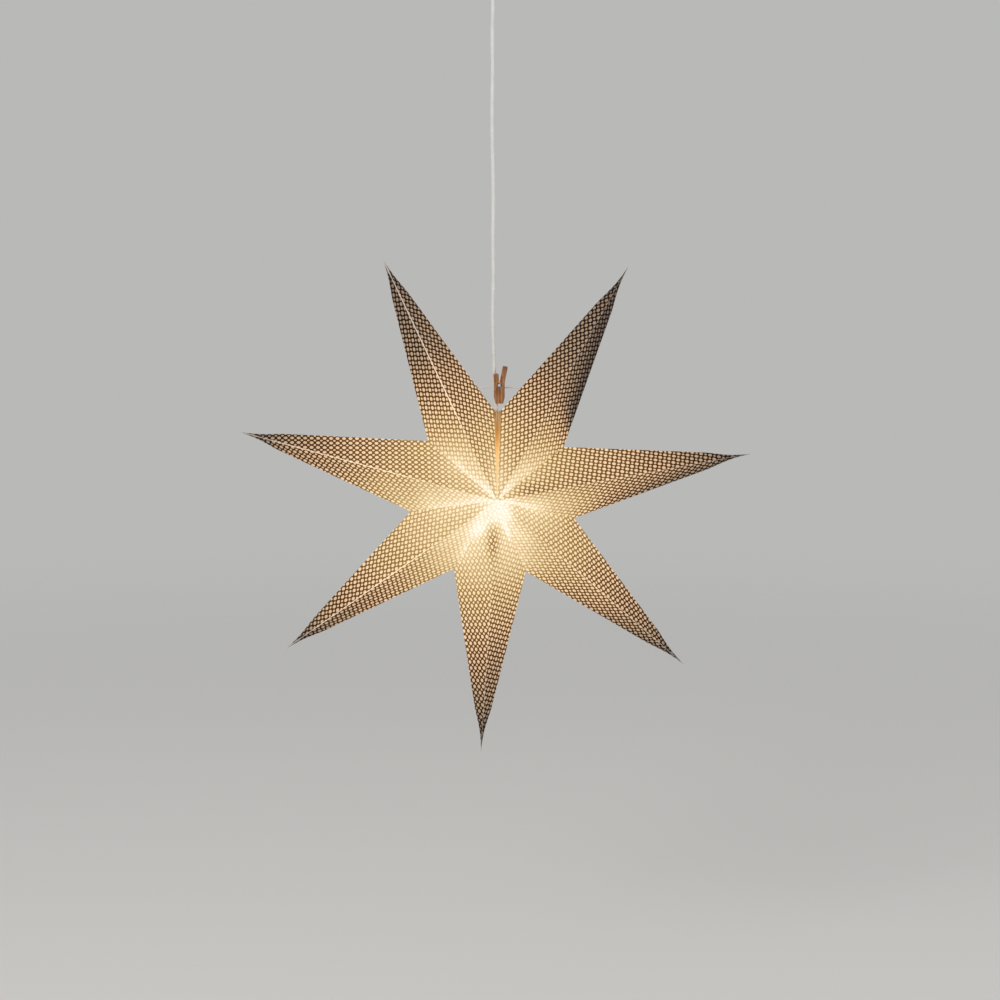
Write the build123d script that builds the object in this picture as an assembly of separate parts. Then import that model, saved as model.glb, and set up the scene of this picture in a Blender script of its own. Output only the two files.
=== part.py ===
"""Seven-pointed folded paper star pendant with its cord, lampholder, bulb and ceiling rose.

Millimetres. Origin on the ceiling, on the cord's axis. +Z is up and the star faces -Y.
"""
from build123d import *
import math
import os

# Paper star
TIP_RADIUS = 300.0
NOTCH_RADIUS = 97.5
HALF_DEPTH = 67.0
SEAM_GAP_DEG = 4.9
LEAN_DEG = 2.8
PAPER = 0.5
FLAP_WIDTH = 9.0
FLAP_START = 6.0
STAR_DROP = 660.0
POINT_NAMES = (
    "point_upper_right", "point_right", "point_lower_right", "point_bottom",
    "point_lower_left", "point_left", "point_upper_left",
)

# Closing wire between the two top points
WIRE_ABOVE_NOTCH = 25.5
WIRE_DIAMETER = 1.6
WIRE_INSET = 9.0
BEAD_DIAMETER = 4.6
WIRE_HOLE_CLEARANCE = 0.3

# Spring peg on the cord
PEG_OFFSET = 6.4
PEG_ABOVE_NOTCH = 28.5
PEG_BACK = 0.0
PEG_WIDTH = 8.0
PEG_ARM = 6.0
JAW_LENGTH = 21.0
JAW_TIP = 4.2
JAW_TAPER_DROP = 13.65
HANDLE_LEFT = 13.5
HANDLE_RIGHT = 22.0
SPLAY_LEFT_DEG = 4.0
SPLAY_RIGHT_DEG = 11.0
HANDLE_CHAMFER = 1.0
PEG_FILLET = 0.7
JAW_HALF_GAP = 0.15
SPRING_DIAMETER = 4.9
SPRING_WIRE = 0.9
SPRING_TURNS = 4
SPRING_GAP = 0.6

# Cord
CORD_DIAMETER = 4.6
CORD_SHIFT = 3.4
CORD_SPLIT_ABOVE_NOTCH = 35.5
BEND_TOP_ABOVE_NOTCH = 23.5
BEND_END_ABOVE_NOTCH = 8.5
CORD_IN_HOLDER = 12.0

# Lampholder and bulb, heights from the star's centre
HOLDER_TOP = 62.0
HOLDER_SHOULDER = 48.0
HOLDER_SPLIT = 38.0
HOLDER_MOUTH = 5.0
HOLDER_DIAMETER = 29.0
HOLDER_NECK = 12.0
HOLDER_CONE = 6.0
HOLDER_WALL = 1.6
CLAMP_SCREW_LENGTH = 3.0
CLAMP_SCREW_SUNK = 0.5
CLAMP_HOLE = 6.0
INSERT_THICK = 7.0
SHELL_WALL = 0.5
SHELL_LENGTH = 21.0
CAP_DIAMETER = 13.8
CAP_WALL = 0.4
CAP_LENGTH = 22.0
CAP_SHOWS = 1.0
CAP_SHOULDER = 2.0
CAP_CROWN_INSET = 2.5
STUD_DIAMETER = 4.8
STUD_HEIGHT = 1.4
CONTACT_LENGTH = 5.0
CONTACT_WIDTH = 3.2
GLOBE_DIAMETER = 45.0
GLOBE_DROP = 21.0
GLASS_WALL = 0.9
GLASS_NECK = 12.4
GLASS_BELOW_CAP_TOP = 6.0
GLASS_FILLET = 8.0
STEM_DIAMETER = 4.4
STEM_SEAL = 2.0
STEM_FLARE = 6.0
STEM_PLATE = 0.8
STEM_PLATE_RIM = 1.0
FILAMENT_COUNT = 4
FILAMENT_DIAMETER = 1.6
FILAMENT_LENGTH = 24.0
FILAMENT_RING = 6.0

# Ceiling rose
CUP_DIAMETER = 100.0
CUP_HEIGHT = 34.0
CUP_WALL = 1.5
CUP_FILLET = 12.0
STRAP_WIDTH = 20.0
STRAP_THICK = 2.0
STRAP_LUG = 12.0
SLOT_SPACING = 60.0
SLOT_WIDTH = 4.6
SLOT_LENGTH = 12.0
SIDE_SCREW = 4.0
SIDE_SCREW_HEAD = 7.6
SIDE_SCREW_HEAD_HEIGHT = 2.2
SIDE_SCREW_HEAD_FILLET = 1.2
SIDE_SCREW_DROP = 8.0
BLOCK_LENGTH = 20.0
BLOCK_WIDTH = 16.0
BLOCK_HEIGHT = 12.0
TERMINAL_PITCH = 8.4
TERMINAL_DIAMETER = 4.6
TERMINAL_HEIGHT = 9.6
TERMINAL_BORE = 2.8
TERMINAL_BORE_DEPTH = 8.4
TERMINAL_SCREW = 2.5
TERMINAL_SCREW_SUNK = 1.0
CORE_DIAMETER = 2.0
CORE_PITCH = 2.2
CORE_DEPTH = 7.2
CORE_STRAIGHT = 1.0
CORE_LEAD_IN = 0.5
SHEATH_BELOW_BLOCK = 4.0

# Cord grip and its bend protector
NIPPLE_DIAMETER = 10.0
NIPPLE_SHOWS = 1.0
LOCKNUT_FLATS = 14.0
LOCKNUT_HEIGHT = 4.0
GRIP_DIAMETER = 24.0
GRIP_ROOF = 4.7
BALL_DIAMETER = 14.0
BALL_LIP = 4.4
GRIP_SKIRT = 9.0
GRIP_FILLET = 1.5
BOOT_LENGTH = 36.0
BOOT_NECK = 7.2
BOOT_ROOT = 1.0
BOOT_END = 8.8
BOOT_LIP = 1.5
SWING_DEG = 20.0

# Clearances
RUNNING = 0.05
LOOSE = 0.3
CUT_PAST = 1.0

# Levels worked out from the sizes above
STAR_Z = -STAR_DROP
WIRE_RISE = NOTCH_RADIUS + WIRE_ABOVE_NOTCH
PEG_RISE = NOTCH_RADIUS + PEG_ABOVE_NOTCH
CORD_SPLIT = NOTCH_RADIUS + CORD_SPLIT_ABOVE_NOTCH
CORD_BEND_TOP = NOTCH_RADIUS + BEND_TOP_ABOVE_NOTCH
CORD_BEND_END = NOTCH_RADIUS + BEND_END_ABOVE_NOTCH
CUP_FLOOR = -CUP_HEIGHT
BALL_SEAT = BALL_DIAMETER / 2 + LOOSE
BALL_Z = CUP_FLOOR - GRIP_ROOF - BALL_SEAT
CORD_TOP = BALL_Z - BOOT_LENGTH
POINT_PITCH = (360.0 - SEAM_GAP_DEG) / len(POINT_NAMES)
WIRE_BACK = (CORD_DIAMETER + WIRE_DIAMETER) / 2 + LOOSE
INSERT_LOW = HOLDER_SPLIT - INSERT_THICK
CAP_LOW = HOLDER_MOUTH - CAP_SHOWS
CAP_HIGH = CAP_LOW + CAP_LENGTH
STUD_TOP = CAP_HIGH + STUD_HEIGHT
GLASS_TOP = CAP_HIGH - GLASS_BELOW_CAP_TOP
GLOBE_Z = -GLOBE_DROP
BLOCK_LOW = -STRAP_THICK - BLOCK_HEIGHT
SHEATH_TOP = BLOCK_LOW - SHEATH_BELOW_BLOCK


def turned(*profile):
    """Revolve a closed (radius, height) outline about Z."""
    outline = Polyline(*[(radius, 0, height) for radius, height in profile], close=True)
    return revolve(make_face(outline), Axis.Z)


def slab(outline, y_low, y_high):
    """Extrude a closed (x, z) outline along Y."""
    edge = Polyline(*[(x, y_low, z) for x, z in outline], close=True)
    return extrude(make_face(edge), amount=y_high - y_low, dir=(0, 1, 0))


def rod(radius, low, high):
    """A cylinder on the Z axis between two heights."""
    return Pos(0, 0, (low + high) / 2) * Cylinder(radius, high - low)


def rod_x(radius, low, high):
    """A cylinder on the X axis between two places."""
    return Pos((low + high) / 2, 0, 0) * Rot(0, 90, 0) * Cylinder(radius, high - low)


def tube_along(route, diameter):
    """A round tube on straight runs joined by arcs as large as the runs allow."""
    points = [Vector(*point) for point in route]
    radii = []
    for before, corner, after in zip(points, points[1:], points[2:]):
        run_in, run_out = corner - before, after - corner
        half_turn = math.radians(run_in.get_angle(run_out)) / 2
        radii.append(0.45 * min(run_in.length, run_out.length) / math.tan(half_turn))
    path = FilletPolyline(*points, radius=radii)
    section = Plane(path @ 0, z_dir=path % 0) * Circle(diameter / 2)
    tube = sweep(section, path=path)
    expected = math.pi * diameter ** 2 / 4 * path.length
    print("tube radii", [round(r, 1) for r in radii], "volume ratio", round(tube.volume / expected, 4))
    return tube


def direction(angle):
    """The unit vector at an angle in the star's own plane, counted from +X towards +Z."""
    return Vector(math.cos(math.radians(angle)), 0, math.sin(math.radians(angle)))


def point_angle(index):
    """The angle of a point's tip, going clockwise from the open seam as seen from the front."""
    return 90.0 - LEAN_DEG - SEAM_GAP_DEG / 2 - POINT_PITCH * (index + 0.5)


FRONT_HUB = Vector(0, -HALF_DEPTH, 0)
BACK_HUB = Vector(0, HALF_DEPTH, 0)


def glue_flap(notch_angle, inward):
    """The V-shaped flap folded in along both valleys of one side of a point."""
    notch_dir = direction(notch_angle)
    valley = math.hypot(NOTCH_RADIUS, HALF_DEPTH)
    depth_step = FLAP_WIDTH * valley / NOTCH_RADIUS
    reach_step = FLAP_WIDTH * valley / HALF_DEPTH

    def depth_at(reach):
        return HALF_DEPTH * (1 - reach / NOTCH_RADIUS)

    outer, inner = depth_at(FLAP_START), depth_at(FLAP_START) - depth_step
    corners = [
        notch_dir * FLAP_START + Vector(0, -outer, 0),
        notch_dir * NOTCH_RADIUS,
        notch_dir * FLAP_START + Vector(0, outer, 0),
        notch_dir * FLAP_START + Vector(0, inner, 0),
        notch_dir * (NOTCH_RADIUS - reach_step),
        notch_dir * FLAP_START + Vector(0, -inner, 0),
    ]
    return extrude(make_face(Polyline(*corners, close=True)), amount=PAPER, dir=inward)


def star_point(index):
    """One folded point: four paper facets and the glue flaps at its two valleys."""
    angle = point_angle(index)
    outward = direction(angle)
    tip = outward * TIP_RADIUS
    sides = [angle + POINT_PITCH / 2, angle - POINT_PITCH / 2]
    notches = [direction(side) * NOTCH_RADIUS for side in sides]
    wedge = ConvexPolyhedron([tip, FRONT_HUB, BACK_HUB, *notches])
    facet_normal = (FRONT_HUB - tip).cross(notches[0] - tip).normalized()
    hollow = wedge.moved(Location(outward * (-PAPER / abs(facet_normal.dot(outward)))))
    paper = wedge - hollow
    for side, turn in zip(sides, (-90, 90)):
        paper += glue_flap(side, direction(side + turn)) & wedge
    return paper


def edge_place(index, side):
    """Where the closing wire crosses the side edge of a point, as an x from the star's centre."""
    angle = point_angle(index)
    notch = direction(angle + side * POINT_PITCH / 2) * NOTCH_RADIUS
    tip = direction(angle) * TIP_RADIUS
    share = (WIRE_RISE - notch.Z) / (tip.Z - notch.Z)
    return notch.X + share * (tip.X - notch.X)


def in_star(shape):
    """Move a shape from the star's centre to its place under the ceiling."""
    return Pos(0, 0, STAR_Z) * shape


def star_nodes():
    """The seven paper points and the wire that closes the seam between the top two."""
    last = len(POINT_NAMES) - 1
    wire_low = edge_place(last, -1) - WIRE_INSET
    wire_high = edge_place(0, 1) + WIRE_INSET
    rise = Pos(0, WIRE_BACK, WIRE_RISE)
    wire = rod_x(WIRE_DIAMETER / 2, wire_low, wire_high)
    for end in (wire_low, wire_high):
        wire += Pos(end, 0, 0) * Sphere(BEAD_DIAMETER / 2)
    hole = rise * rod_x(WIRE_DIAMETER / 2 + WIRE_HOLE_CLEARANCE, wire_low, wire_high)
    nodes = {"closing_wire": in_star(rise * wire)}
    for index, name in enumerate(POINT_NAMES):
        paper = star_point(index)
        if index in (0, last):
            paper -= hole
        nodes[name] = in_star(paper)
    return nodes


def peg_arm(side, handle, splay_deg):
    """One wooden arm of the peg, with its coil seat and a handle cut back from the pivot."""
    splay = math.tan(math.radians(splay_deg))
    knee = SPRING_DIAMETER / 2 + LOOSE
    shoulder = handle - HANDLE_CHAMFER
    outline = [
        (JAW_HALF_GAP, -JAW_LENGTH),
        (JAW_TIP, -JAW_LENGTH),
        (PEG_ARM, -JAW_TAPER_DROP),
        (PEG_ARM, knee),
        (PEG_ARM + (shoulder - knee) * splay, shoulder),
        (JAW_HALF_GAP + handle * splay, handle),
        (JAW_HALF_GAP, 0),
    ]
    arm = slab([(side * x, z) for x, z in outline], PEG_BACK - PEG_WIDTH, PEG_BACK)
    ends = arm.edges().filter_by(Axis.Y).sort_by(Axis.Z)
    arm = fillet([ends[0], ends[1], ends[-1], ends[-2]], PEG_FILLET)
    seat = Rot(90, 0, 0) * Cylinder(SPRING_DIAMETER / 2 + LOOSE, 4 * PEG_WIDTH)
    return arm - seat


def peg_spring():
    """The peg's torsion coil, lying along Y between the arms."""
    mean_radius = (SPRING_DIAMETER - SPRING_WIRE) / 2
    pitch = SPRING_WIRE + SPRING_GAP
    coil = Helix(pitch, pitch * SPRING_TURNS, mean_radius)
    section = Plane(coil @ 0, z_dir=coil % 0) * Circle(SPRING_WIRE / 2)
    print("spring gap between turns", round(SPRING_GAP, 2))
    wound = sweep(section, path=coil, is_frenet=True)
    start = PEG_BACK - (PEG_WIDTH - pitch * SPRING_TURNS) / 2
    return Pos(0, start, 0) * Rot(90, 0, 0) * wound


def cord_route():
    """The lower cord, from inside the peg through the seam to the lampholder."""
    return [
        (0, 0, CORD_SPLIT),
        (0, 0, CORD_BEND_TOP),
        (CORD_SHIFT, 0, CORD_BEND_END),
        (CORD_SHIFT, 0, HOLDER_TOP - CORD_IN_HOLDER),
    ]


def cord_nodes():
    """The hanging cord above the peg, and the length below it."""
    radius = CORD_DIAMETER / 2
    upper = rod(radius, STAR_Z + CORD_SPLIT, CORD_TOP) + Pos(0, 0, CORD_TOP) * Sphere(radius)
    return {"cord_upper": upper, "cord_lower": in_star(tube_along(cord_route(), CORD_DIAMETER))}


def peg_nodes():
    """The two arms and the coil of the peg, in place at the closing wire."""
    place = Pos(PEG_OFFSET, 0, PEG_RISE)
    cord_groove = rod(CORD_DIAMETER / 2 + LOOSE, CORD_BEND_TOP, CORD_SPLIT + HANDLE_RIGHT)
    cord_groove += tube_along(cord_route(), CORD_DIAMETER + 2 * LOOSE)
    left = place * peg_arm(-1, HANDLE_LEFT, SPLAY_LEFT_DEG) - cord_groove
    right = place * peg_arm(1, HANDLE_RIGHT, SPLAY_RIGHT_DEG)
    return {
        "peg_arm_left": in_star(left),
        "peg_arm_right": in_star(right),
        "peg_spring": in_star(place * peg_spring()),
    }


def holder_pieces():
    """The lampholder: cap with its cord clamp, body, insert, threaded shell and centre contact."""
    outer = HOLDER_DIAMETER / 2
    lining = outer - HOLDER_WALL
    bore = CORD_DIAMETER / 2 + RUNNING
    ceiling = HOLDER_SHOULDER - HOLDER_WALL
    neck_low = HOLDER_SHOULDER + HOLDER_CONE
    cap = turned(
        (bore, HOLDER_TOP), (HOLDER_NECK / 2, HOLDER_TOP), (HOLDER_NECK / 2, neck_low),
        (outer, HOLDER_SHOULDER), (outer, HOLDER_SPLIT), (lining, HOLDER_SPLIT),
        (lining, ceiling), (bore, ceiling),
    )
    body = turned(
        (outer, HOLDER_SPLIT), (lining, HOLDER_MOUTH), (lining - HOLDER_WALL, HOLDER_MOUTH),
        (lining - HOLDER_WALL, INSERT_LOW), (lining, INSERT_LOW), (lining, HOLDER_SPLIT),
    )
    shell_bore = CAP_DIAMETER / 2 + RUNNING
    shell_low = INSERT_LOW - SHELL_LENGTH
    shell = rod(shell_bore + SHELL_WALL, shell_low, INSERT_LOW) - rod(shell_bore, shell_low, INSERT_LOW)
    clamp = Pos(0, -HOLDER_NECK / 2, (HOLDER_TOP + neck_low) / 2) * Rot(90, 0, 0)
    cap -= clamp * Cylinder(TERMINAL_SCREW / 2, CLAMP_HOLE)
    clamp_screw = Cylinder(TERMINAL_SCREW / 2, CLAMP_SCREW_LENGTH)
    contact_height = INSERT_LOW - STUD_TOP - 2 * RUNNING
    contact = Box(CONTACT_LENGTH, CONTACT_WIDTH, contact_height)
    return {
        "holder_cap": cap,
        "holder_body": body,
        "contact_insert": rod(lining, INSERT_LOW, HOLDER_SPLIT),
        "thread_shell": shell,
        "clamp_screw": clamp * Pos(0, 0, -CLAMP_SCREW_SUNK) * clamp_screw,
        "centre_contact": Pos(0, 0, (STUD_TOP + INSERT_LOW) / 2) * contact,
    }


def bulb_envelope(inset):
    """The bulb's globe and neck with a round where they meet, drawn in by an inset."""
    ball = Pos(0, 0, GLOBE_Z) * Sphere(GLOBE_DIAMETER / 2 - inset)
    joined = ball + rod(GLASS_NECK / 2 - inset, GLOBE_Z, GLASS_TOP)
    meeting = joined.edges().filter_by(GeomType.CIRCLE).sort_by(Axis.Z)[-2]
    return fillet(meeting, GLASS_FILLET + inset)


def bulb_pieces():
    """The bulb: screw cap, contact stud, glass, stem and upright filaments."""
    cap_radius = CAP_DIAMETER / 2
    crown = cap_radius - CAP_CROWN_INSET
    stud_radius = STUD_DIAMETER / 2
    cap = turned(
        (cap_radius, CAP_LOW), (cap_radius, CAP_HIGH - CAP_SHOULDER), (crown, CAP_HIGH),
        (stud_radius, CAP_HIGH), (stud_radius, CAP_HIGH - CAP_WALL), (crown, CAP_HIGH - CAP_WALL),
        (cap_radius - CAP_WALL, CAP_HIGH - CAP_SHOULDER - CAP_WALL), (cap_radius - CAP_WALL, CAP_LOW),
    )
    neck_bore = GLASS_NECK / 2 - GLASS_WALL
    glass = bulb_envelope(0) - bulb_envelope(GLASS_WALL) - rod(neck_bore, GLASS_TOP - CUT_PAST, GLASS_TOP)
    stem_radius = STEM_DIAMETER / 2
    plate_radius = FILAMENT_RING + STEM_PLATE_RIM
    plate_top = GLOBE_Z + FILAMENT_LENGTH / 2
    plate_low = plate_top - STEM_PLATE
    stem = turned(
        (0, GLASS_TOP), (neck_bore, GLASS_TOP), (neck_bore, GLASS_TOP - STEM_SEAL),
        (stem_radius, GLASS_TOP - STEM_FLARE), (stem_radius, plate_top), (plate_radius, plate_top),
        (plate_radius, plate_low), (0, plate_low),
    )
    filament = rod(FILAMENT_DIAMETER / 2, plate_low - FILAMENT_LENGTH, plate_low)
    ring = PolarLocations(FILAMENT_RING, FILAMENT_COUNT)
    return {
        "bulb_cap": cap,
        "bulb_stud": rod(stud_radius, CAP_HIGH - CAP_WALL, STUD_TOP),
        "bulb_glass": glass,
        "bulb_stem": stem,
        "bulb_filaments": Compound([place * filament for place in ring]),
    }


def lamp_nodes():
    """The lampholder under the cord's end and the bulb that hangs in it, cap upwards."""
    under_cord = Pos(CORD_SHIFT, 0, 0)
    pieces = {**holder_pieces(), **bulb_pieces()}
    return {name: in_star(under_cord * shape) for name, shape in pieces.items()}


def ceiling_strap(lug_x):
    """The steel strap with two ceiling slots and a lug at each end."""
    strap = Pos(0, 0, -STRAP_THICK / 2) * Box(2 * lug_x, STRAP_WIDTH, STRAP_THICK)
    for side in (-1, 1):
        lug = Box(STRAP_THICK, STRAP_WIDTH, STRAP_LUG)
        strap += Pos(side * (lug_x - STRAP_THICK / 2), 0, -STRAP_LUG / 2) * lug
    slot = extrude(SlotOverall(SLOT_LENGTH, SLOT_WIDTH), amount=-2 * STRAP_THICK)
    for side in (-1, 1):
        strap -= Pos(side * SLOT_SPACING / 2, 0, STRAP_THICK / 2) * slot
    return strap


def rose_nodes():
    """The ceiling cup, its strap and the two screws that hold them together."""
    radius = CUP_DIAMETER / 2
    cup = rod(radius, CUP_FLOOR, 0)
    cup = fillet(cup.edges().sort_by(Axis.Z)[0], CUP_FILLET)
    inside = rod(radius - CUP_WALL, CUP_FLOOR + CUP_WALL, CUP_WALL)
    inside = fillet(inside.edges().sort_by(Axis.Z)[0], CUP_FILLET - CUP_WALL)
    cup -= inside
    cup -= rod(NIPPLE_DIAMETER / 2 + RUNNING, CUP_FLOOR - CUT_PAST, CUP_FLOOR + CUP_WALL + CUT_PAST)

    lug_x = math.sqrt((radius - CUP_WALL - LOOSE) ** 2 - (STRAP_WIDTH / 2) ** 2)
    strap = ceiling_strap(lug_x)
    screw_start = lug_x - 2 * STRAP_THICK
    head = rod_x(SIDE_SCREW_HEAD / 2, radius, radius + SIDE_SCREW_HEAD_HEIGHT)
    head = fillet(head.edges().sort_by(Axis.X)[-1], SIDE_SCREW_HEAD_FILLET)
    drop = Pos(0, 0, -SIDE_SCREW_DROP)
    screw = drop * (rod_x(SIDE_SCREW / 2, screw_start, radius) + head)
    passage = drop * rod_x(SIDE_SCREW / 2 + RUNNING, screw_start, radius + CUT_PAST)
    turns = [Rot(0, 0, turn) for turn in (0, 180)]
    for turn in turns:
        cup -= turn * passage
        strap -= turn * passage
    return {
        "ceiling_cup": cup, "mounting_strap": strap,
        "side_screws": Compound([turn * screw for turn in turns]),
    }


def terminal_nodes():
    """The terminal block under the strap, with the cord's tail and its two cores led in."""
    places = [Pos(0, side * TERMINAL_PITCH / 2, 0) for side in (-1, 1)]
    middle = Pos(0, 0, BLOCK_LOW + BLOCK_HEIGHT / 2)
    terminal = rod(TERMINAL_DIAMETER / 2, BLOCK_LOW, BLOCK_LOW + TERMINAL_HEIGHT)
    bore = rod(TERMINAL_BORE / 2, BLOCK_LOW, BLOCK_LOW + TERMINAL_BORE_DEPTH)
    driver = middle * rod_x(TERMINAL_SCREW / 2, 0, BLOCK_LENGTH / 2)
    screw_start = CORE_DIAMETER / 2 + RUNNING
    screw = middle * rod_x(TERMINAL_SCREW / 2, screw_start, BLOCK_LENGTH / 2 - TERMINAL_SCREW_SUNK)
    block = middle * Box(BLOCK_LENGTH, BLOCK_WIDTH, BLOCK_HEIGHT)
    for place in places:
        block -= place * terminal
        block -= place * driver
    cores = []
    for side in (-1, 1):
        route = [
            (0, side * CORE_PITCH / 2, SHEATH_TOP),
            (0, side * CORE_PITCH / 2, SHEATH_TOP + CORE_STRAIGHT),
            (0, side * TERMINAL_PITCH / 2, BLOCK_LOW - CORE_LEAD_IN),
            (0, side * TERMINAL_PITCH / 2, BLOCK_LOW + CORE_DEPTH),
        ]
        cores.append(tube_along(route, CORE_DIAMETER))
    return {
        "terminal_block": block,
        "terminal_tubes": Compound([place * (terminal - bore - driver) for place in places]),
        "terminal_screws": Compound([place * screw for place in places]),
        "core_wires": Compound(cores),
        "cord_tail": rod(CORD_DIAMETER / 2, BALL_Z + BALL_SEAT, SHEATH_TOP),
    }


def grip_nodes():
    """The cord grip under the cup and the rubber bend protector that swings in it."""
    nipple_bore = CORD_DIAMETER / 2 + LOOSE
    nipple_top = CUP_FLOOR + CUP_WALL + LOCKNUT_HEIGHT + NIPPLE_SHOWS
    nipple_low = CUP_FLOOR - GRIP_ROOF
    nipple = rod(NIPPLE_DIAMETER / 2, nipple_low, nipple_top) - rod(nipple_bore, nipple_low, nipple_top)
    hexagon = RegularPolygon(LOCKNUT_FLATS / 2, 6, major_radius=False)
    locknut = Pos(0, 0, CUP_FLOOR + CUP_WALL) * extrude(hexagon, amount=LOCKNUT_HEIGHT)
    locknut -= rod(NIPPLE_DIAMETER / 2 + RUNNING, CUP_FLOOR, 0)

    tilt = math.radians(SWING_DEG)
    lip_radius = math.sqrt(BALL_SEAT ** 2 - BALL_LIP ** 2)
    mouth = BOOT_END / 2 / math.cos(tilt) + GRIP_SKIRT * math.tan(tilt) + LOOSE
    grip_low = BALL_Z - GRIP_SKIRT
    grip = rod(GRIP_DIAMETER / 2, grip_low, CUP_FLOOR)
    grip = fillet(grip.edges().sort_by(Axis.Z)[0], GRIP_FILLET)
    grip -= Pos(0, 0, BALL_Z) * Sphere(BALL_SEAT)
    grip -= rod(NIPPLE_DIAMETER / 2 + RUNNING, BALL_Z, CUP_FLOOR)
    grip -= turned((0, BALL_Z - BALL_LIP), (lip_radius, BALL_Z - BALL_LIP),
                   (mouth, grip_low), (mouth, grip_low - CUT_PAST), (0, grip_low - CUT_PAST))

    boot_low = CORD_TOP - BOOT_LIP
    cord_seat = CORD_DIAMETER / 2 + LOOSE
    flare = CORD_DIAMETER / 2 / math.cos(tilt) + BOOT_LIP * math.tan(tilt) + LOOSE
    neck_z = BALL_Z - BALL_DIAMETER / 2 + BOOT_ROOT
    boot = turned((0, BALL_Z), (BOOT_NECK / 2, BALL_Z), (BOOT_NECK / 2, neck_z),
                  (BOOT_END / 2, boot_low), (0, boot_low))
    boot += Pos(0, 0, BALL_Z) * Sphere(BALL_DIAMETER / 2)
    boot -= turned((0, CORD_TOP + cord_seat), (cord_seat, CORD_TOP + cord_seat), (cord_seat, CORD_TOP),
                   (flare, boot_low), (0, boot_low))
    return {"grip_nipple": nipple, "grip_locknut": locknut, "cord_grip": grip, "bend_protector": boot}


def main():
    """Build every piece and write one file for each."""
    os.makedirs("parts", exist_ok=True)
    nodes = {**rose_nodes(), **terminal_nodes(), **grip_nodes(), **cord_nodes()}
    nodes |= {**star_nodes(), **peg_nodes(), **lamp_nodes()}
    for name, shape in nodes.items():
        export_step(shape, f"parts/{name}.step")


main()
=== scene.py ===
"""Looks of a folded paper star pendant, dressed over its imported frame.

Every length is in metres, in the part's own frame: origin on the ceiling, +Z up, star facing -Y.
"""
import logging
import math
from dataclasses import dataclass, field
from enum import Enum
from typing import Any, Protocol

import bmesh
import bpy
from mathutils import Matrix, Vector, noise

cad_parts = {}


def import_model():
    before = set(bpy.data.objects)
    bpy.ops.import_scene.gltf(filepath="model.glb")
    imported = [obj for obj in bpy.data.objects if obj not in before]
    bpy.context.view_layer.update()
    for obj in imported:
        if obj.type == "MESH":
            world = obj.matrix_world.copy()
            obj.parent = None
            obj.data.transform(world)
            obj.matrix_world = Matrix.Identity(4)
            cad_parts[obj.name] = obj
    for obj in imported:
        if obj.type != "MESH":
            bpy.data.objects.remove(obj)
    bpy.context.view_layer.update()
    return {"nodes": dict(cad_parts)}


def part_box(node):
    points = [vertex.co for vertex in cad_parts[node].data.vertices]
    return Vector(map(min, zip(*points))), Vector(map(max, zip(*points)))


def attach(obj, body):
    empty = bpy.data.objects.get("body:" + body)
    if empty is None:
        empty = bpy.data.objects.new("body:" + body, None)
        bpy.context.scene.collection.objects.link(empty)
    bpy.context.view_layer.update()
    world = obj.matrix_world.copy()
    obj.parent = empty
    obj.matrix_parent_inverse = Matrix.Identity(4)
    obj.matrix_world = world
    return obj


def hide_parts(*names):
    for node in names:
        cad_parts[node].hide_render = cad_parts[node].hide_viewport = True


LOG = logging.getLogger("paper_star")

MM = 0.001

# Heights of the star's centre and of the place where the cord leaves its bend protector
STAR_Z = -0.660
CORD_TOP = -0.082

# A noise texture seldom leaves the stretch between these two values
NOISE_LOW = 0.3
NOISE_HIGH = 0.7

# Numbers of the colour inputs and the colour output of a Mix node
MIX_A = 6
MIX_B = 7
MIX_RESULT = 2

Colour = tuple[float, float, float, float]
Stops = tuple[tuple[float, str], ...]
Nodes = dict[str, bpy.types.Object]
Material = bpy.types.Material
Socket = bpy.types.NodeSocket
Tree = bpy.types.NodeTree


class Finish(Protocol):
    """Any finish that can make its own material."""

    def build(self) -> Material:
        """Make the material."""


def srgb(code: str) -> Colour:
    """Turn an sRGB hex colour into linear values.

    Args:
        code: Six hex digits with a leading hash.

    Returns:
        Linear red, green and blue, and a full alpha.
    """
    channels = [int(code[i:i + 2], 16) / 255 for i in (1, 3, 5)]
    red, green, blue = [c / 12.92 if c <= 0.04045 else ((c + 0.055) / 1.055) ** 2.4 for c in channels]
    return (red, green, blue, 1.0)


def set_inputs(tree: Tree, node: bpy.types.Node, values: dict[Any, Any] | None = None,
               links: dict[Any, Socket] | None = None) -> None:
    """Set a node's constant inputs and link its other ones.

    Args:
        tree: Node tree that holds the node.
        node: Node to set up.
        values: Constant values by input name or number.
        links: Output sockets by the input name or number that they feed.
    """
    for name, value in (values or {}).items():
        node.inputs[name].default_value = value
    for name, socket in (links or {}).items():
        tree.links.new(socket, node.inputs[name])


def add_node(tree: Tree, kind: str, settings: dict[str, Any] | None = None,
             values: dict[Any, Any] | None = None, links: dict[Any, Socket] | None = None,
             stops: Stops = ()) -> bpy.types.Node:
    """Add one node with its settings, constant inputs and incoming links.

    Args:
        tree: Node tree to add to.
        kind: Blender's node type name.
        settings: Node properties to set.
        values: Constant values by input name or number.
        links: Output sockets by the input name or number that they feed.
        stops: Places and hex colours of a colour ramp, lowest first.

    Returns:
        The new node.
    """
    node = tree.nodes.new(kind)
    for name, value in (settings or {}).items():
        setattr(node, name, value)
    if stops:
        elements = node.color_ramp.elements
        while len(elements) < len(stops):
            elements.new(1.0)
        for element, (place, colour) in zip(elements, stops):
            element.position = place
            element.color = srgb(colour)
    set_inputs(tree, node, values, links)
    return node


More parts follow.
